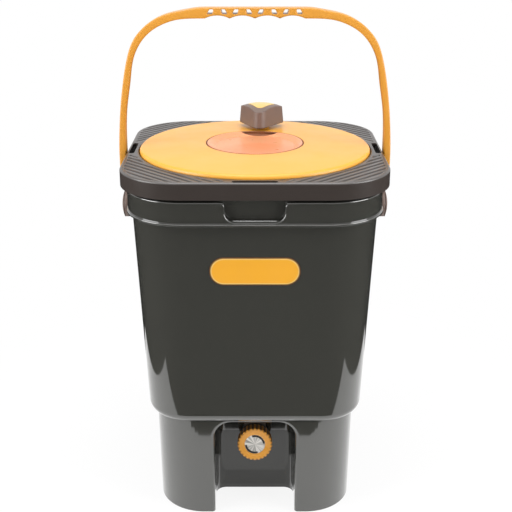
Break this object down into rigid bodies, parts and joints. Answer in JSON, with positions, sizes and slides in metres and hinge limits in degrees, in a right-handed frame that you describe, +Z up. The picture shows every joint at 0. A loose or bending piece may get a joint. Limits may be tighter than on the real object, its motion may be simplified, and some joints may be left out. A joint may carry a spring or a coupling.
{
  "type": "kitchen compost bin",
  "caption": "Tall tapered kitchen compost bin with drain tap in a front recess, square lid frame, round latched cover and swinging bow handle.",
  "frame": {"origin": "on the floor, under the middle of the bin's footprint", "axes": "+Z up, front with the tap recess towards -Y, +X to the right when seen from the front"},
  "size_m": [0.3202, 0.2992, 0.5908],
  "materials": {
    "bin_grey": "smooth glossy moulded",
    "lid_grey": "satin moulded",
    "cover_orange": "smooth glossy moulded",
    "handle_orange": "smooth moulded",
    "dish_coral": "glossy moulded",
    "knob_grey": "satin moulded",
    "knob_yellow": "glossy moulded",
    "seal_rubber": "soft matte",
    "tap_grey": "satin moulded",
    "tap_orange": "smooth moulded",
    "tap_silver": "brushed",
    "mark_black": "printed",
    "strainer_black": "satin moulded",
    "hardware_steel": "plain"
  },
  "bodies": {
    "bin": {"bin_shell": "bin_grey", "base_skirt": "bin_grey", "collar_band": "bin_grey", "pivot_pin_left": "knob_grey", "pivot_pin_right": "knob_grey", "tap_body": "tap_grey", "tap_washer_outer": "seal_rubber", "tap_washer_inner": "seal_rubber", "tap_nut": "tap_grey"},
    "handle": {"handle": "handle_orange", "handle_arm_left": "handle_orange", "handle_arm_right": "handle_orange", "handle_shoe_left": "knob_grey", "handle_shoe_right": "knob_grey"},
    "strainer": {"strainer": "strainer_black"},
    "lid": {"lid_frame": "lid_grey", "seat_ring": "lid_grey", "rim_seal": "seal_rubber", "cover_seal": "seal_rubber"},
    "cover": {"cover": "cover_orange", "dish": "dish_coral", "dish_gasket": "seal_rubber", "dish_ring": "cover_orange", "latch_seal": "seal_rubber"},
    "latch": {"knob": "knob_grey", "knob_cap": "knob_yellow", "latch_spindle": "hardware_steel", "latch_washer": "hardware_steel", "latch_tongue": "knob_grey", "latch_nut": "hardware_steel"},
    "tap_plug": {"tap_wheel": "tap_orange", "tap_disc": "tap_silver", "tap_marks": "mark_black", "tap_valve": "tap_grey", "tap_rings": "seal_rubber"}
  },
  "joints": [
    {"name": "handle_swing", "type": "hinge", "parent": "bin", "child": "handle", "pos_m": [0, 0, 0.36], "axis": [1, 0, 0], "range_deg": [-140, 140]},
    {"name": "strainer_lift", "type": "slide", "parent": "bin", "child": "strainer", "axis": [0, 0, 1], "range_m": [0, 0.2]},
    {"name": "lid_lift", "type": "slide", "parent": "bin", "child": "lid", "axis": [0, 0, 1], "range_m": [0, 0.012]},
    {"name": "cover_lift", "type": "slide", "parent": "lid", "child": "cover", "axis": [0, 0, 1], "range_m": [0, 0.06]},
    {"name": "latch_turn", "type": "hinge", "parent": "cover", "child": "latch", "pos_m": [0.0075, 0.084, 0.42], "axis": [0, 0, 1], "range_deg": [0, 90]},
    {"name": "tap_turn", "type": "hinge", "parent": "bin", "child": "tap_plug", "pos_m": [0, -0.05808, 0.0754], "axis": [0, -0.9945, 0.1045], "range_deg": [0, 90]}
  ]
}
